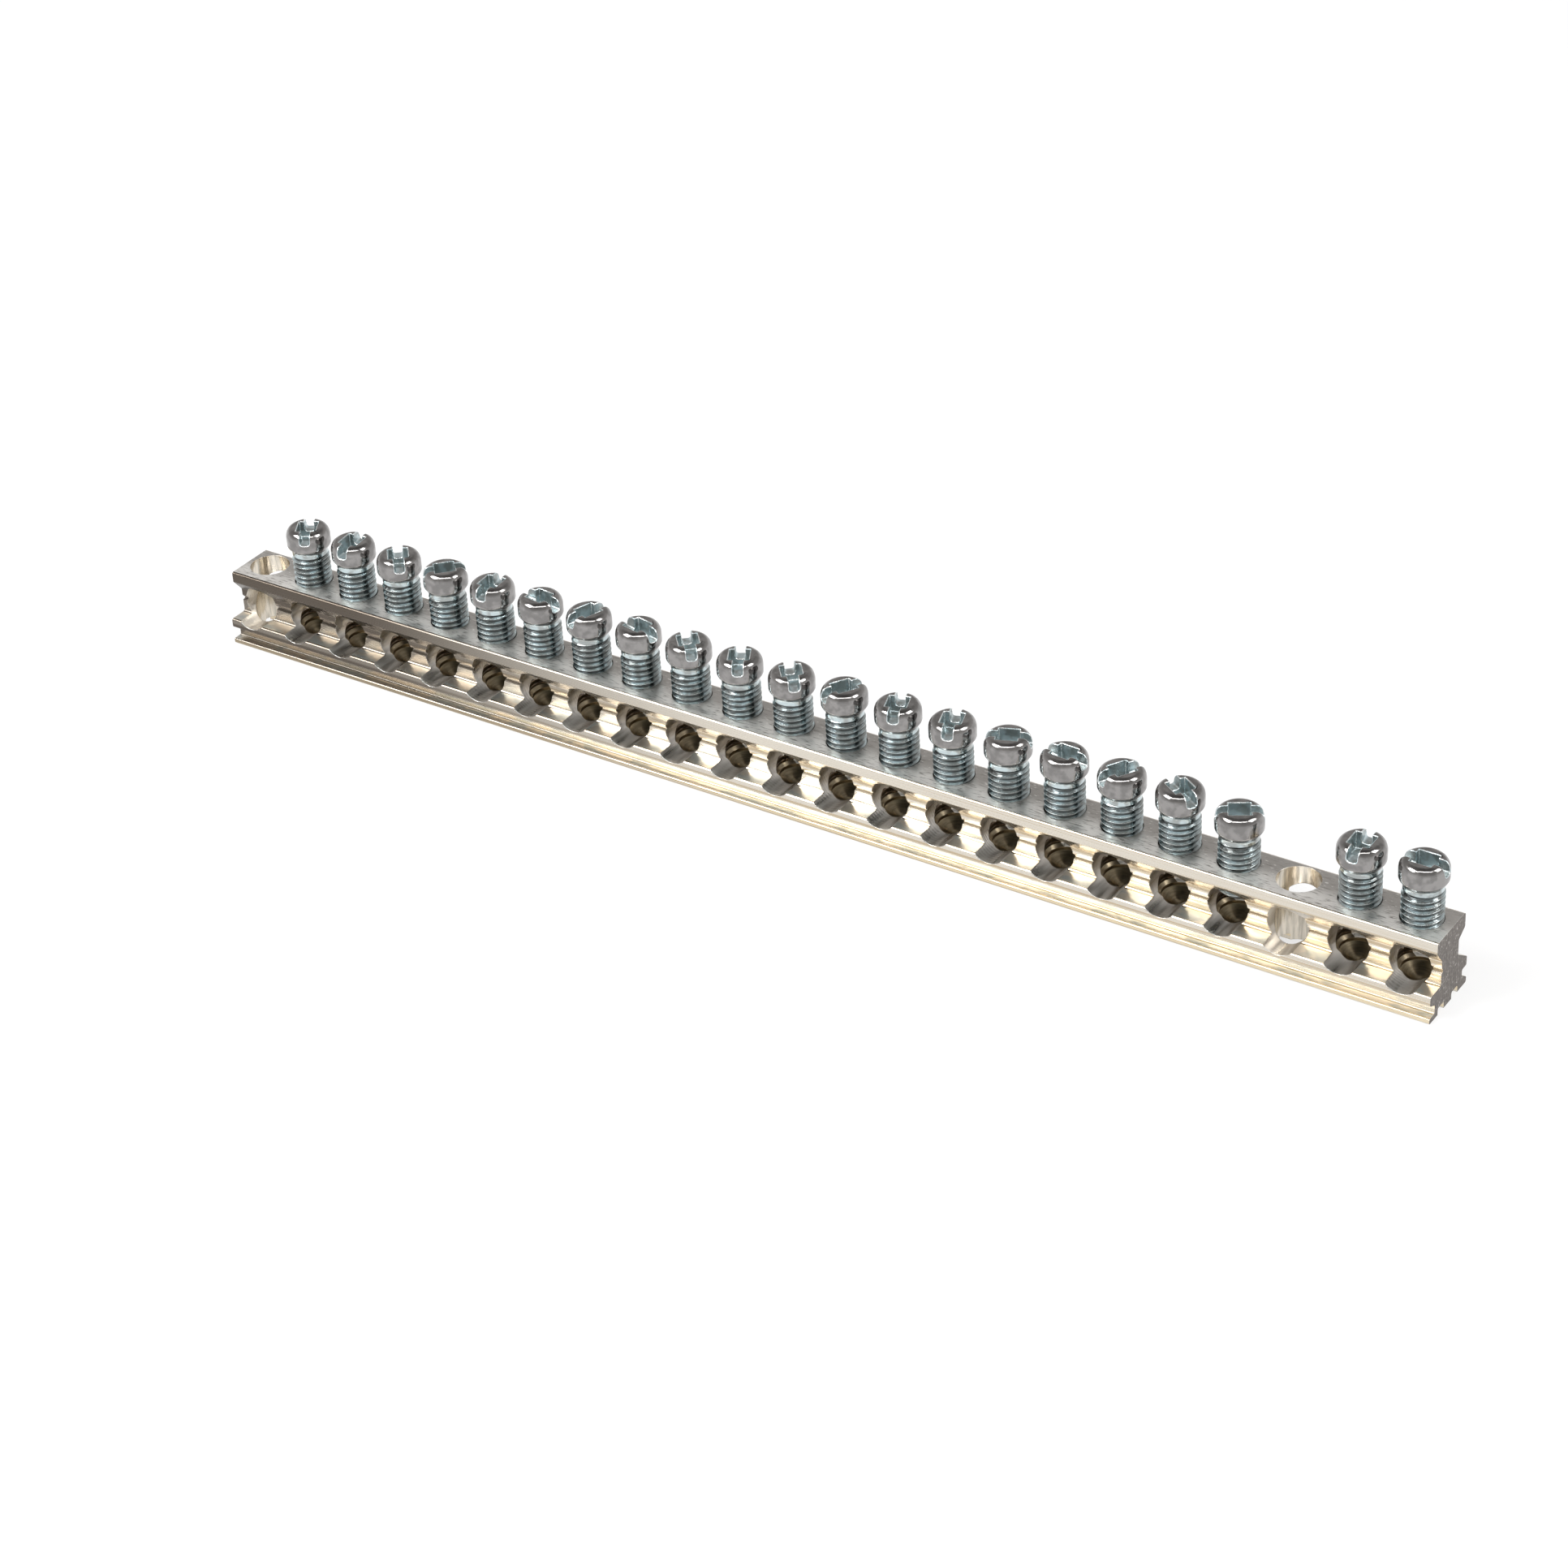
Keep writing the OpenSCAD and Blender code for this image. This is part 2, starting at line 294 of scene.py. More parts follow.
def shelf_plate(finishes):
    """The same plate on the flat of the wire shelf: smooth, with a pale blue bloom in patches."""
    material, tree, place = new_material("smooth_tin_plate")
    patches = stretched(tree, place, (4.167, 2.5, 2.5), 2)
    fine = stretched(tree, place, (16.67, 0.2, 0.2), 2)
    base = tinted(tree, finishes.shelf, finishes.shelf_blue, patches, 0.42, 0.6)
    finish_metal(tree, base, (patches, 0.3, 0.7, 0.3, 0.42), fine, 0.008)
    return material


def milled_top(finishes):
    """The flat top: the same plate, scuffed, and lighter along its front than behind."""
    material, tree, place = new_material("worn_brushed_top")
    axis = add_node(tree, "ShaderNodeSeparateXYZ", {0: place}).outputs
    # scratches on two crossed ways, and scuffs 3 mm across
    scratch = stretched(tree, place, (1.538, 0.2941, 0.2941), 4, turn=(0, 0, 0.08))
    cross = stretched(tree, place, (1, 0.3333, 0.3333), 4, turn=(0, 0, -0.5))
    scuffs = stretched(tree, place, (3.03, 2.381, 2.381), 3)
    base = tinted(tree, finishes.top_dark, finishes.top_light, scratch, 0.26, 0.5)
    # darker towards the back
    base = tinted(tree, base, finishes.top_dark, axis["Y"], -3.5 * MM, 1 * MM, most=0.75)
    base = tinted(tree, base, finishes.top_light, cross, 0.6, 0.7, most=0.8)
    finish_metal(tree, base, (scuffs, 0.35, 0.65, 0.36, 0.52), cross, 0.01, 0.2)
    return material


def sawn_end(finishes):
    """Sawn aluminium: matt and mottled, with the saw's shallow arcs down the cut."""
    material, tree, place = new_material("sawn_aluminium")
    # the arcs are 0.7 mm apart, round a saw whose centre was 60 mm behind the bar; the rings of a
    # Wave texture are TURN / 20 apart at scale 1
    centred = add_node(tree, "ShaderNodeMapping", {"Vector": place, "Location": (0, 60 * MM, 0)})
    saw = add_node(tree, "ShaderNodeTexWave",
                   {"Vector": centred.outputs[0], "Scale": TURN / 20 / (0.698 * MM),
                    "Distortion": 2.5, "Detail": 3},
                   wave_type="RINGS", rings_direction="X")
    grain = stretched(tree, place, (0.3846, 0.3846, 0.3846), 4)
    base = tinted(tree, toned(finishes.sawn, 0.7), finishes.sawn, grain, 0.35, 0.65)
    base = tinted(tree, base, finishes.top_light, grain, 0.6, 0.75, most=0.6)
    finish_metal(tree, base, 0.5, saw.outputs[1], 0.02, 0.18)
    return material


def drilled_wall(finishes):
    """Drilled and tinned aluminium: satin, with the rings of the drill's feed in some holes."""
    material, tree, place = new_material("drilled_aluminium")
    axis = add_node(tree, "ShaderNodeSeparateXYZ", {0: place}).outputs
    # feed rings 0.55 mm apart, shifted by up to 14 radians across the wall
    uneven = stretched(tree, place, (3.846, 3.846, 3.846), 1)
    shift = add_node(tree, "ShaderNodeMath", {0: uneven, 1: 14}, operation="MULTIPLY").outputs[0]
    wave = ripples(tree, axis["Y"], 0.55 * MM, shift)
    rings = add_node(tree, "ShaderNodeMapRange", zip(RANGE, (wave, -1, 1)),
                     interpolation_type="SMOOTHSTEP")
    # the drill chattered in one hole and not in the next
    some = stretched(tree, place, (13.33, 13.33, 13.33), 0)
    chatter = add_node(tree, "ShaderNodeMapRange", zip(RANGE, (some, 0.42, 0.6, 0.1, 1)),
                       interpolation_type="SMOOTHSTEP")
    marks = add_node(tree, "ShaderNodeMath", {0: rings.outputs[0], 1: chatter.outputs[0]},
                     operation="MULTIPLY").outputs[0]
    streak = stretched(tree, place, (1.111, 8.333, 1.111), 2)
    base = tinted(tree, finishes.drilled_dark, finishes.drilled, streak, 0.35, 0.65)
    base = tinted(tree, base, finishes.drilled, marks, 0, 1)
    # a painted highlight, 0.15 mm wide, along the front edge of the shelf where the drill broke into
    # it
    base = tinted(tree, base, finishes.zinc_rim_highlight, axis["Y"], -6.55 * MM, -6.4 * MM, least=1, most=0)
    finish_metal(tree, base, (streak, 0.3, 0.7, 0.26, 0.4), marks, 0.014, 0.3)
    return material


def pocket_wall(finishes):
    """The bottom of a screw hole: drilled, bare and yellowish, with fine rings down it."""
    material, tree, place = new_material("drilled_pocket")
    rings = stretched(tree, place, (2, 2, 0.1429), 2)
    base = tinted(tree, toned(finishes.pocket, 0.7), finishes.pocket, rings, 0.35, 0.65)
    finish_metal(tree, base, 0.28, rings, 0.01, 0.05)
    return material


def bored_wall(finishes):
    """The plain fixing holes: bright bored metal with the tool's chatter down the wall."""
    material, tree, place = new_material("bored_aluminium")
    marks = stretched(tree, place, (0.7143, 0.7143, 6.25), 3)
    base = tinted(tree, toned(finishes.bored, 0.65), finishes.bored, marks, 0.35, 0.6)
    finish_metal(tree, base, 0.2, marks, 0.05, 0.15)
    return material


def tapped_wall(finishes):
    """Tapped aluminium, dark, with the thread's turns down the hole painted as bands of shade."""
    material, tree, place = new_material("tapped_aluminium")
    axis = add_node(tree, "ShaderNodeSeparateXYZ", {0: place}).outputs
    turns = ripples(tree, axis["Z"], bpy.context.scene.screw_sizes.thread_pitch)
    # painted shade: each turn darkens to half as bright
    base = tinted(tree, toned(finishes.tapped, 0.5), finishes.tapped, turns, -1, 1)
    finish_metal(tree, base, 0.25, turns, 0.08, 0.05)
    return material


def painted_root_shade(tree, base, place, plain, thread):
    """The base colour with painted shade, nearly black, in the roots of the thread, by the distance
    from the axis of the nearest hole."""
    half = bpy.context.scene.bar_sizes.pitch / 2
    axis = add_node(tree, "ShaderNodeSeparateXYZ", {0: place}).outputs
    across = add_node(tree, "ShaderNodeMath", {0: axis["X"], 1: half, 2: -half}, operation="WRAP")
    flat = add_node(tree, "ShaderNodeCombineXYZ", {0: across.outputs[0], 1: axis["Y"]})
    reach = add_node(tree, "ShaderNodeVectorMath", {0: flat.outputs[0]}, operation="LENGTH")
    crest, depth = thread.thread_d / 2, thread.thread_depth
    return tinted(tree, base, toned(plain, 0.12), reach.outputs["Value"],
                  crest - 0.9 * depth, crest - 0.35 * depth, least=0.85, most=0)


def zinc_plate(name, plain, tint, least_rough, most_rough, thread=None):
    """Bright zinc plate, blue passivated, on cold-headed steel: glossy with a faint cloudy tint."""
    material, tree, place = new_material(name)
    # the clouds are the dents of the blank, and the grain is the plating's; on the heads the clouds'
    # lighter tint is painted highlight as well
    cloud = stretched(tree, place, (1.667, 1.667, 1.667), 2)
    grain = stretched(tree, place, (0.3333, 0.3333, 0.3333), 3)
    base = tinted(tree, plain, tint, cloud, 0.38, 0.62)
    if thread:
        # painted shade in the roots of the thread
        base = painted_root_shade(tree, base, place, plain, thread)
    finish_metal(tree, base, (grain, 0.3, 0.7, least_rough, most_rough), cloud, 0.09, 0.1)
    return material


# Meshes

# corners nearer to each other than this are one corner
MERGE = 0.001 * MM
# how near a corner or a face lies to the surface that it is on
NEAR = 0.03 * MM
# the least that the normal of a flat face lies along its axis
FLAT = 0.99


def add_object(name, bm, materials=()):
    """The mesh as an object at the origin; the bmesh is used up."""
    mesh = bpy.data.meshes.new(name)
    bm.to_mesh(mesh)
    bm.free()
    for material in materials:
        mesh.materials.append(material)
    piece = bpy.data.objects.new(name, mesh)
    bpy.context.scene.collection.objects.link(piece)
    return piece


def shade(bm, sharp_degrees):
    """Smooth faces, with an edge sharp where its faces turn by more than the angle."""
    limit = math.radians(sharp_degrees)
    for face in bm.faces:
        face.smooth = True
    for edge in bm.edges:
        edge.smooth = edge.is_manifold and edge.calc_face_angle(0) < limit


def spin(bm, geometry, steps, angle=TURN, rise=0.0, close=True):
    """Turns the geometry round Z, rising by rise at each step."""
    bmesh.ops.spin(bm, geom=geometry, cent=(0, 0, 0), axis=(0, 0, 1), dvec=(0, 0, rise),
                   angle=angle, steps=steps, use_merge=close, use_normal_flip=False,
                   use_duplicate=False)


def profile_line(bm, points):
    """A chain of edges in the XZ plane through points (radius, height)."""
    verts = [bm.verts.new((radius, 0, height)) for radius, height in points]
    edges = [bm.edges.new(pair) for pair in zip(verts, verts[1:])]
    return verts + edges


# The bar

EXTRUDED, SHELF, TOP, SAWN, DRILLED, POCKET, BORED, TAPPED = range(8)

# the most that the normal of a hole's wall lies along the hole, and that of a steep face upright
STRAIGHT, STEEP = 0.1, 0.95
# the most that the normal of a drill's point lies backward, and the least that it leans aside
BACKWARD, LEANING = 0.2, 0.01


def bar_finish(face, sizes):
    """Which finish a face of the bar has, by where it lies and which way it looks."""
    normal, middle = face.normal, face.calc_center_median()
    if abs(normal.x) > FLAT and min(abs(middle.x - corner[0]) for corner in CAD_BOX) < NEAR:
        return SAWN
    # the distances of its corners from the axes of the nearest wire hole and the nearest upright one
    row = round(middle.x / sizes.pitch) * sizes.pitch
    places = [vert.co for vert in face.verts]
    from_wire = [math.hypot(place.x - row, place.z - sizes.wire_z) for place in places]
    from_upright = [math.hypot(place.x - row, place.y) for place in places]
    if max(abs(reach - sizes.wire_d / 2) for reach in from_wire) < NEAR and abs(normal.y) < STRAIGHT:
        return DRILLED
    if abs(abs(row) - sizes.fixing_span / 2) < NEAR and abs(normal.z) < STRAIGHT \
            and max(abs(reach - sizes.fixing_d / 2) for reach in from_upright) < NEAR:
        return BORED
    # the drill's point at the blind end of a wire hole is a cone that looks forward
    if max(from_wire) < sizes.wire_d / 2 + NEAR and middle.y > sizes.wire_past - NEAR \
            and normal.y < BACKWARD and abs(normal.x) + abs(normal.z) > LEANING:
        return DRILLED
    # a screw hole's wall and drilled bottom look towards its axis
    inward = -(normal.x * (middle.x - row) + normal.y * middle.y)
    if max(from_upright) < sizes.tapped_d / 2 + NEAR and middle.z > sizes.groove_top and inward > 0 \
            and (abs(normal.z) < STEEP or middle.z < sizes.wire_z):
        return TAPPED if middle.z > sizes.tapped_to else POCKET
    if normal.z > FLAT:
        return TOP if middle.z > CAD_BOX[0][2] + sizes.wire_z + sizes.wire_d / 2 else SHELF
    return EXTRUDED


def even_shading(piece):
    """Flat faces shade flat beside rounded ones."""
    piece.modifiers.new("even_shading", "WEIGHTED_NORMAL").keep_sharp = True


def build_bar(sizes, finishes):
    bm = bmesh.new()
    bm.from_mesh(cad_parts["terminal_bar"].data)
    bmesh.ops.remove_doubles(bm, verts=bm.verts, dist=MERGE)
    bmesh.ops.dissolve_degenerate(bm, edges=bm.edges, dist=MERGE / 2)
    for face in bm.faces:
        face.material_index = bar_finish(face, sizes)
    shade(bm, sharp_degrees=40)
    makers = (tin_plate, shelf_plate, milled_top, sawn_end, drilled_wall, pocket_wall, bored_wall,
              tapped_wall)
    bar = add_object("dressed_bar", bm, [make(finishes) for make in makers])
    even_shading(bar)
    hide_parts("terminal_bar")
    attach(bar, "bar")


# The screws

# RIM is the rounded edges of the slot and the square, finished near white as a painted highlight
HEAD, THREAD, RECESS, RIM = range(4)

# how far the cutters of the recess stand out above the head
PROUD = 1 * MM
# parts of the recess narrower than this are drawn together before its edges are rounded
SLIVER = 0.06 * MM
# a direction along which no two corners of the head lie level
ORDER = Vector((1, 1.4142, 1.7321))


def thread_profile(sizes):
    """One turn of the rolled thread from root to root, with a rounded crest: (radius, height)."""
    root = sizes.thread_d / 2 - sizes.thread_depth
    # its lower half as shares of the pitch and of the depth: the flat root, the flank, the crest
    rising = [(0, 0), (0.12, 0), (0.2, 0.12), (0.4, 0.86), (0.455, 1)]
    falling = [(1 - up, out) for up, out in reversed(rising)]
    return [(root + sizes.thread_depth * out, sizes.thread_pitch * up) for up, out in rising + falling]


def threaded_shank(sizes):
    """The thread, cut off square at the neck and chamfered at its end; both cuts are open."""
    bm = bmesh.new()
    # it starts more than a turn below the screw's end, and passes both cuts
    turns = math.ceil((sizes.shank_l - sizes.neck_l) / sizes.thread_pitch) + 2
    start = -sizes.shank_l - 1.2 * sizes.thread_pitch
    line = profile_line(bm, [(radius, start + up) for radius, up in thread_profile(sizes)])
    spin(bm, line, turns * sizes.thread_steps, angle=TURN * turns,
         rise=sizes.thread_pitch / sizes.thread_steps, close=False)
    bmesh.ops.remove_doubles(bm, verts=bm.verts, dist=MERGE)
    thread_top = -sizes.neck_l - sizes.run_out / 2
    for height, up in ((thread_top, 1), (-sizes.shank_l, -1)):
        bmesh.ops.bisect_plane(bm, geom=bm.verts[:] + bm.edges[:] + bm.faces[:], dist=1e-8,
                               plane_co=(0, 0, height), plane_no=(0, 0, up), clear_outer=True)
    for vert in bm.verts:
        radius = math.hypot(vert.co.x, vert.co.y)
        # the end's chamfer, and the thread's run-out under the neck
        most = min(sizes.thread_d / 2 - sizes.tip_chamfer + (vert.co.z + sizes.shank_l),
                   sizes.neck_d / 2 - sizes.run_out / 2 + thread_top - vert.co.z)
        if radius > most:
            vert.co.x *= most / radius
            vert.co.y *= most / radius
    return bm


def head_profile(sizes):
    """The head and neck from the axis below to the axis above: (radius, height)."""
    side, top, neck = sizes.head_d / 2, sizes.head_h, sizes.neck_d / 2
    shares = [step / sizes.curve_steps for step in range(sizes.curve_steps + 1)]
    # an easy curve out from the neck, and an oval one in to the flat of the top
    under = [(neck + (side - neck) * (1 - math.cos(math.pi * share)) / 2, sizes.head_under_h * share)
             for share in shares]
    crown = [(side - sizes.crown_r + sizes.crown_r * math.cos(TURN / 4 * share),
              top - sizes.crown_h + sizes.crown_h * math.sin(TURN / 4 * share)) for share in shares]
    return [(0, -sizes.neck_l), (neck, -sizes.neck_l), *under, *crown, (0, top)]


def head_blank(sizes):
    """The turned head and neck, without a recess."""
    bm = bmesh.new()
    spin(bm, profile_line(bm, head_profile(sizes)), sizes.head_steps)
    bmesh.ops.remove_doubles(bm, verts=bm.verts, dist=MERGE)
    bmesh.ops.recalc_face_normals(bm, faces=bm.faces)
    return bm


def box_between(low, high):
    """A box between two corners."""
    bm = bmesh.new()
    low, high = Vector(low), Vector(high)
    bmesh.ops.create_cube(bm, size=1, matrix=Matrix.Translation((low + high) / 2)
                          @ Matrix.Diagonal((*(high - low), 1)))
    return bm


def round_off(bm, edges, radius, segments, clamp):
    """Rounds the edges, and gives the new faces."""
    return bmesh.ops.bevel(bm, geom=edges, offset=radius, offset_type="OFFSET", segments=segments,
                           profile=0.5, affect="EDGES", clamp_overlap=clamp, material=-1)["faces"]


def slot_cutter(sizes):
    """The slot right across the head, with a rounded root, and open above."""
    bm = box_between((-sizes.head_d, -sizes.slot_w / 2, sizes.head_h - sizes.slot_h),
                     (sizes.head_d, sizes.slot_w / 2, sizes.head_h + PROUD))
    root = [edge for edge in bm.edges if edge.verts[0].co.z < sizes.head_h
            and abs(edge.verts[0].co.x - edge.verts[1].co.x) > sizes.head_d]
    round_off(bm, root, sizes.slot_root_r, segments=5, clamp=True)
    return bm


def square_cutter(sizes):
    """The square recess in the middle of the head, open above."""
    half = sizes.square_w / 2
    return box_between((-half, -half, sizes.head_h - sizes.square_h),
                       (half, half, sizes.head_h + PROUD))


def cut_away(bm, cutter):
    """One bmesh less another, as a new one; both are used up."""
    solid, tool = add_object("solid", bm), add_object("cutter", cutter)
    cut = solid.modifiers.new("cut", "BOOLEAN")
    cut.operation, cut.solver, cut.object = "DIFFERENCE", "EXACT", tool
    shape = solid.evaluated_get(bpy.context.evaluated_depsgraph_get())
    rest = bmesh.new()
    rest.from_mesh(shape.to_mesh())
    shape.to_mesh_clear()
    for spent in (solid, tool):
        mesh = spent.data
        bpy.data.objects.remove(spent)
        bpy.data.meshes.remove(mesh)
    return rest


def rim_edges(bm, sizes):
    """The sharp edges of the slot and the square."""
    sharp = math.radians(38)
    return [edge for edge in bm.edges if edge.is_manifold and edge.calc_face_angle(0) > sharp
            and min(vert.co.z for vert in edge.verts) > sizes.head_under_h]


def clear_rim(bm, sizes):
    """Brings each corner that the rounding of the rim would pass onto the rim, so that no face
    folds over."""
    corners = {vert for edge in rim_edges(bm, sizes) for vert in edge.verts}
    reach = 1.4 * sizes.edge_r
    passed = {}
    for vert in bm.verts:
        short = [edge for edge in vert.link_edges if edge.other_vert(vert) in corners
                 and edge.calc_length() < reach]
        if short and vert not in corners:
            passed[vert] = min(short, key=lambda edge: edge.calc_length()).other_vert(vert)
    bmesh.ops.weld_verts(bm, targetmap=passed)


def slotted_head(sizes):
    """The turned head with its slot and its square recess, open below the neck."""
    bm = cut_away(cut_away(head_blank(sizes), slot_cutter(sizes)), square_cutter(sizes))
    bmesh.ops.remove_doubles(bm, verts=bm.verts, dist=MERGE)
    bmesh.ops.dissolve_limit(bm, angle_limit=math.radians(1), verts=bm.verts, edges=bm.edges)
    # the slivers that the cuts left; a cut gives its corners in a new order each run, and the merge
    # keeps the first of those that it brings together
    bm.verts.sort(key=lambda vert: vert.co.dot(ORDER))
    bmesh.ops.remove_doubles(bm, verts=bm.verts, dist=SLIVER)
    clear_rim(bm, sizes)
    # the rounded edges take the near-white finish, a painted highlight
    for face in round_off(bm, rim_edges(bm, sizes), sizes.edge_r, segments=3, clamp=False):
        face.material_index = RIM
    floor = [face for face in bm.faces if face.normal.z < -FLAT
             and abs(face.calc_center_median().z + sizes.neck_l) < NEAR]
    bmesh.ops.delete(bm, geom=floor, context="FACES")
    return bm


def screw_finish(face, sizes):
    """Which finish a face of the screw has: the thread, the recess or the head round it."""
    middle = face.calc_center_median()
    # the thread's brighter finish goes a third of the way up the underside of the head, as a painted
    # highlight
    if middle.z < 0.35 * sizes.head_under_h:
        return THREAD
    # how far the face lies inside the head's own oval skin
    up = min(1, max(0, middle.z - sizes.head_h + sizes.crown_h) / sizes.crown_h)
    skin = sizes.head_d / 2 - sizes.crown_r + sizes.crown_r * math.sqrt(1 - up ** 2)
    sunk = min(skin - math.hypot(middle.x, middle.y), sizes.head_h - middle.z)
    floor = sizes.head_h - sizes.square_h - 0.1 * MM
    # the recess takes the lighter blue finish: the blue film, and a painted reflection
    return RECESS if middle.z > floor and sunk > sizes.edge_r else HEAD


def screw_mesh(sizes):
    """One whole screw: the underside of its head at height 0, its slot along X."""
    bm = slotted_head(sizes)
    shank = threaded_shank(sizes)
    part = bpy.data.meshes.new("shank")
    shank.to_mesh(part)
    shank.free()
    bm.from_mesh(part)
    bpy.data.meshes.remove(part)
    open_edges = [edge for edge in bm.edges if edge.is_boundary]
    joint = [edge for edge in open_edges if edge.verts[0].co.z > -sizes.neck_l - sizes.run_out]
    tip = [edge for edge in open_edges if abs(edge.verts[0].co.z + sizes.shank_l) < NEAR]
    bmesh.ops.bridge_loops(bm, edges=joint)
    bmesh.ops.contextual_create(bm, geom=tip)
    bmesh.ops.recalc_face_normals(bm, faces=bm.faces)
    for face in bm.faces:
        if face.material_index != RIM:
            face.material_index = screw_finish(face, sizes)
    shade(bm, sharp_degrees=42)
    mesh = bpy.data.meshes.new("screw_pattern")
    bm.to_mesh(mesh)
    bm.free()
    return mesh


def slot_direction(node, sizes):
    """The direction of a screw's slot, from the corners of its floor in the solid."""
    low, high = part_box(node)
    middle = (low + high) / 2
    double = Vector((0, 0))
    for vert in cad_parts[node].data.vertices:
        across = Vector((vert.co.x - middle.x, vert.co.y - middle.y))
        on_floor = abs(vert.co.z - (high.z - sizes.slot_h)) < NEAR
        if on_floor and across.length > 0.4 * sizes.head_d:
            # the slot's two ends lie half a turn apart, and doubled angles bring them together
            turn = 2 * math.atan2(across.y, across.x)
            double += Vector((math.cos(turn), math.sin(turn)))
    return math.atan2(double.y, double.x) / 2


def build_screws(sizes, finishes):
    pattern = screw_mesh(sizes)
    # the film is thinner on the heads, which rub together in the plating barrel
    # on the heads the clouds are 1.4 times as bright: the plate's cloudy tint, and painted highlight
    # patches
    plates = [zinc_plate("bright_zinc_plate", finishes.zinc, toned(finishes.zinc, 1.4), 0.08, 0.18),
              zinc_plate("zinc_plate_on_thread", finishes.zinc_thread, finishes.zinc_blue,
                         0.12, 0.22, thread=sizes),
              zinc_plate("blue_zinc_plate_and_painted_reflection", finishes.zinc_blue, finishes.zinc_thread, 0.3, 0.45),
              # the near-white painted highlight on the rounded edges
              zinc_plate("zinc_plate_painted_highlight", finishes.zinc_rim_highlight, finishes.zinc_blue, 0.2, 0.35)]
    for node in SCREWS:
        low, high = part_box(node)
        place = Matrix.Translation(((low.x + high.x) / 2, 0, high.z - sizes.head_h)) \
            @ Matrix.Rotation(slot_direction(node, sizes), 4, "Z")
        bm = bmesh.new()
        bm.from_mesh(pattern)
        bmesh.ops.transform(bm, matrix=place, verts=bm.verts)
        number = node.rsplit("_", 1)[1]
        screw = add_object("dressed_screw_" + number, bm, plates)
        even_shading(screw)
        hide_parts(node)
        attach(screw, "screw_" + number)
    bpy.data.meshes.remove(pattern)


# The floor, the light and the camera

# the studio's light from the horizon up, as (height, colour): white low down and darker overhead,
# so that bright metal has contrast
SKY = ((0.12, (1, 1, 1)), (0.3, (0.64, 0.6272, 0.6144)), (0.6, (0.5, 0.49, 0.48)),
       (1.0, (0.16, 0.155, 0.15)))
# each lamp's name, place, width and height in metres, and power in watts; all of them aim at the
# middle of the bar
LAMPS = (("key", (-0.45, -0.5, 0.7), 0.55, 0.4, 8),
         ("side", (0.75, 0.2, 0.75), 0.4, 0.4, 5),
         ("front", (0.3, -0.5, 0.95), 1.1, 0.12, 4))
# the camera's place in metres, its turn in degrees and its lens in millimetres, fitted to the
# holes, the screw heads and the ends of the bar in the photograph
CAMERA_PLACE = (0.289513, -0.396362, 0.311802)
CAMERA_TURN = (57.4107, 2.9487, 33.6039)
CAMERA_LENS = 85.661


def seen_directly(tree):
    """1 for a ray from the camera, in a reflection or through glass, and 0 for light on the object."""
    path = add_node(tree, "ShaderNodeLightPath").outputs
    some = add_node(tree, "ShaderNodeMath", {0: path["Is Camera Ray"], 1: path["Is Glossy Ray"]},
                    operation="ADD")
    return add_node(tree, "ShaderNodeMath", {0: some.outputs[0], 1: path["Is Transmission Ray"]},
                    operation="ADD", use_clamp=True).outputs[0]


def white_paper(floor_colour):
    """White paper: matt, takes the object's shadow, and shows as white where it is seen."""
    material = bpy.data.materials.new("white_paper_floor")
    tree = empty_tree(material)
    paper = add_node(tree, "ShaderNodeBsdfDiffuse", {"Color": floor_colour})
    glow = add_node(tree, "ShaderNodeEmission", {"Strength": 1})
    # seven parts of glow to three of paper, which keep the shadow
    share = add_node(tree, "ShaderNodeMath", {0: seen_directly(tree), 1: 0.7},
                     operation="MULTIPLY")
    both = add_node(tree, "ShaderNodeMixShader", {0: share.outputs[0], 1: paper.outputs[0],
                                                  2: glow.outputs[0]})
    add_node(tree, "ShaderNodeOutputMaterial", {"Surface": both.outputs[0]})
    return material


def build_floor(settings):
    bm = bmesh.new()
    bmesh.ops.create_grid(bm, x_segments=1, y_segments=1, size=settings.floor_half,
                          matrix=Matrix.Translation((0, 0, -settings.floor_drop)))
    add_object("floor", bm, [white_paper(settings.floor_colour)])


def build_world():
    """A studio lit evenly round the horizon."""
    world = bpy.data.worlds.new("studio")
    bpy.context.scene.world = world
    tree = empty_tree(world)
    look = add_node(tree, "ShaderNodeTexCoord").outputs["Generated"]
    split = add_node(tree, "ShaderNodeSeparateXYZ", {0: look})
    ramp = add_node(tree, "ShaderNodeValToRGB", {0: split.outputs["Z"]})
    set_stops(ramp, SKY)
    sky = add_node(tree, "ShaderNodeBackground", {"Color": ramp.outputs[0], "Strength": 1})
    add_node(tree, "ShaderNodeOutputWorld", {"Surface": sky.outputs[0]})


def add_lamp(name, place, width, height, power):
    data = bpy.data.lights.new(name, "AREA")
    data.shape, data.size, data.size_y, data.energy = "RECTANGLE", width, height, power
    lamp = bpy.data.objects.new(name, data)
    bpy.context.scene.collection.objects.link(lamp)
    lamp.location = place
    lamp.rotation_euler = (-Vector(place)).to_track_quat("-Z", "Y").to_euler()


def add_camera():
    data = bpy.data.cameras.new("camera")
    data.lens, data.sensor_width = CAMERA_LENS, 36
    data.clip_start, data.clip_end = 0.01, 50
    camera = bpy.data.objects.new("camera", data)
    bpy.context.scene.collection.objects.link(camera)
    camera.location = CAMERA_PLACE
    camera.rotation_euler = [math.radians(angle) for angle in CAMERA_TURN]
    bpy.context.scene.camera = camera


# Operators, panel and main

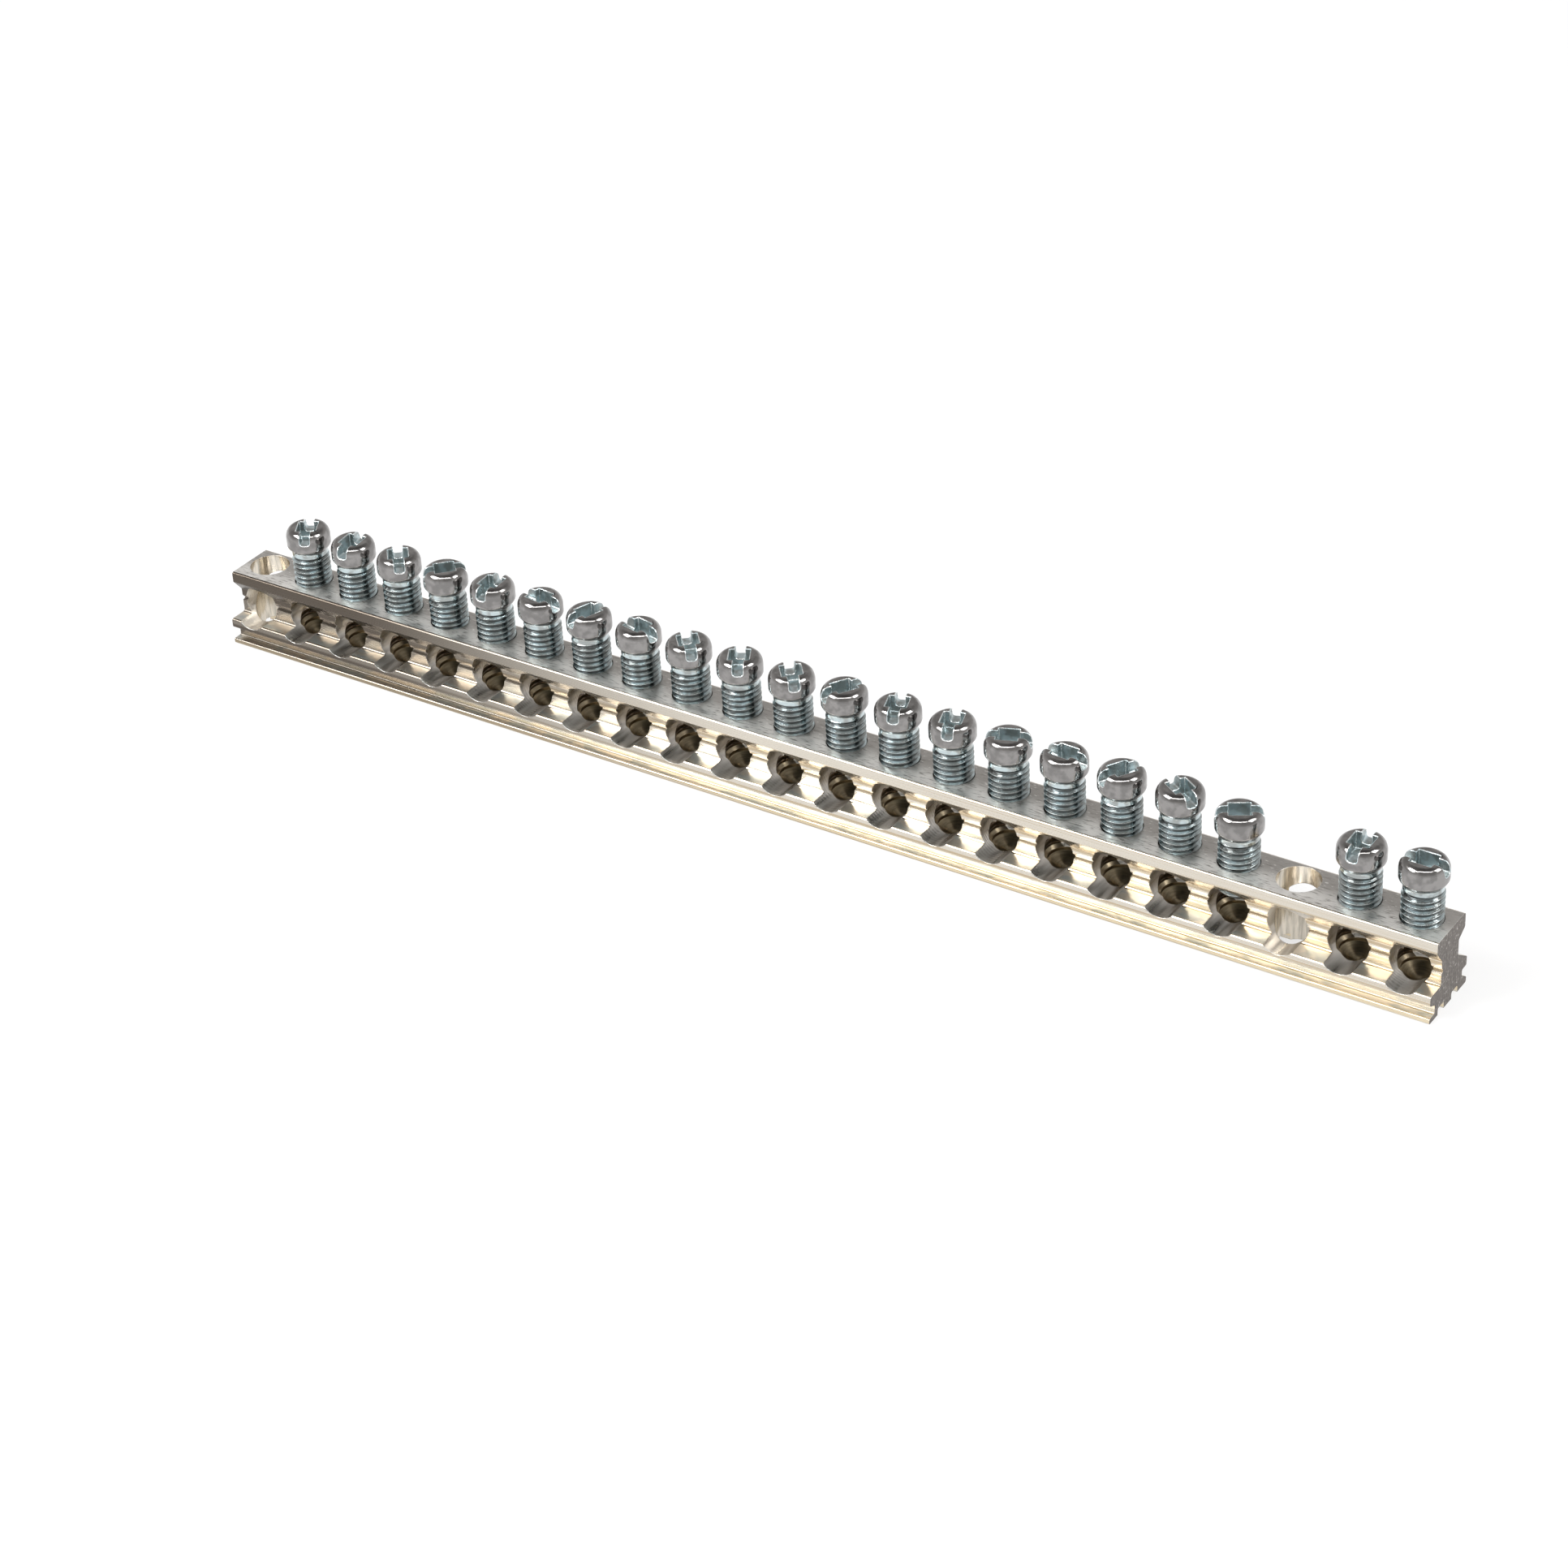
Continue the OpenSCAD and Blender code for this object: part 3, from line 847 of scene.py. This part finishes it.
class EARTHBAR_OT_bar(bpy.types.Operator):
    """Dress the extruded bar"""
    bl_idname = "earthbar.bar"
    bl_label = "Bar"

    def execute(self, context):
        build_bar(context.scene.bar_sizes, context.scene.bar_finishes)
        return {"FINISHED"}


class EARTHBAR_OT_screws(bpy.types.Operator):
    """Make the clamping screws"""
    bl_idname = "earthbar.screws"
    bl_label = "Screws"

    def execute(self, context):
        build_screws(context.scene.screw_sizes, context.scene.bar_finishes)
        return {"FINISHED"}


class EARTHBAR_OT_stage(bpy.types.Operator):
    """Set up the floor, the light and the camera"""
    bl_idname = "earthbar.stage"
    bl_label = "Stage"

    def execute(self, context):
        build_floor(context.scene.stage_settings)
        build_world()
        for lamp in LAMPS:
            add_lamp(*lamp)
        add_camera()
        context.scene.view_settings.view_transform = "Standard"
        return {"FINISHED"}


class EARTHBAR_PT_panel(bpy.types.Panel):
    """The steps that build the earth terminal bar"""
    bl_idname = "EARTHBAR_PT_panel"
    bl_label = "Earth terminal bar"
    bl_space_type = "VIEW_3D"
    bl_region_type = "UI"
    bl_category = "Earth bar"

    def draw(self, context):
        for step in STEPS:
            self.layout.operator(step.bl_idname)
        for group in SETTINGS:
            box = self.layout.box()
            settings = getattr(context.scene, group)
            for key in settings.__annotations__:
                box.prop(settings, key)


SETTINGS = {"bar_sizes": BarSizes, "screw_sizes": ScrewSizes,
            "bar_finishes": Finishes, "stage_settings": StageSettings}
STEPS = (EARTHBAR_OT_bar, EARTHBAR_OT_screws, EARTHBAR_OT_stage)
CLASSES = (*SETTINGS.values(), *STEPS, EARTHBAR_PT_panel)


def register():
    for each in CLASSES:
        bpy.utils.register_class(each)
    for name, group in SETTINGS.items():
        setattr(bpy.types.Scene, name, PointerProperty(type=group))


def unregister():
    for name in SETTINGS:
        delattr(bpy.types.Scene, name)
    for each in reversed(CLASSES):
        bpy.utils.unregister_class(each)


def main():
    register()
    bpy.ops.earthbar.bar()
    bpy.ops.earthbar.screws()
    bpy.ops.earthbar.stage()


if __name__ == "__main__":
    main()
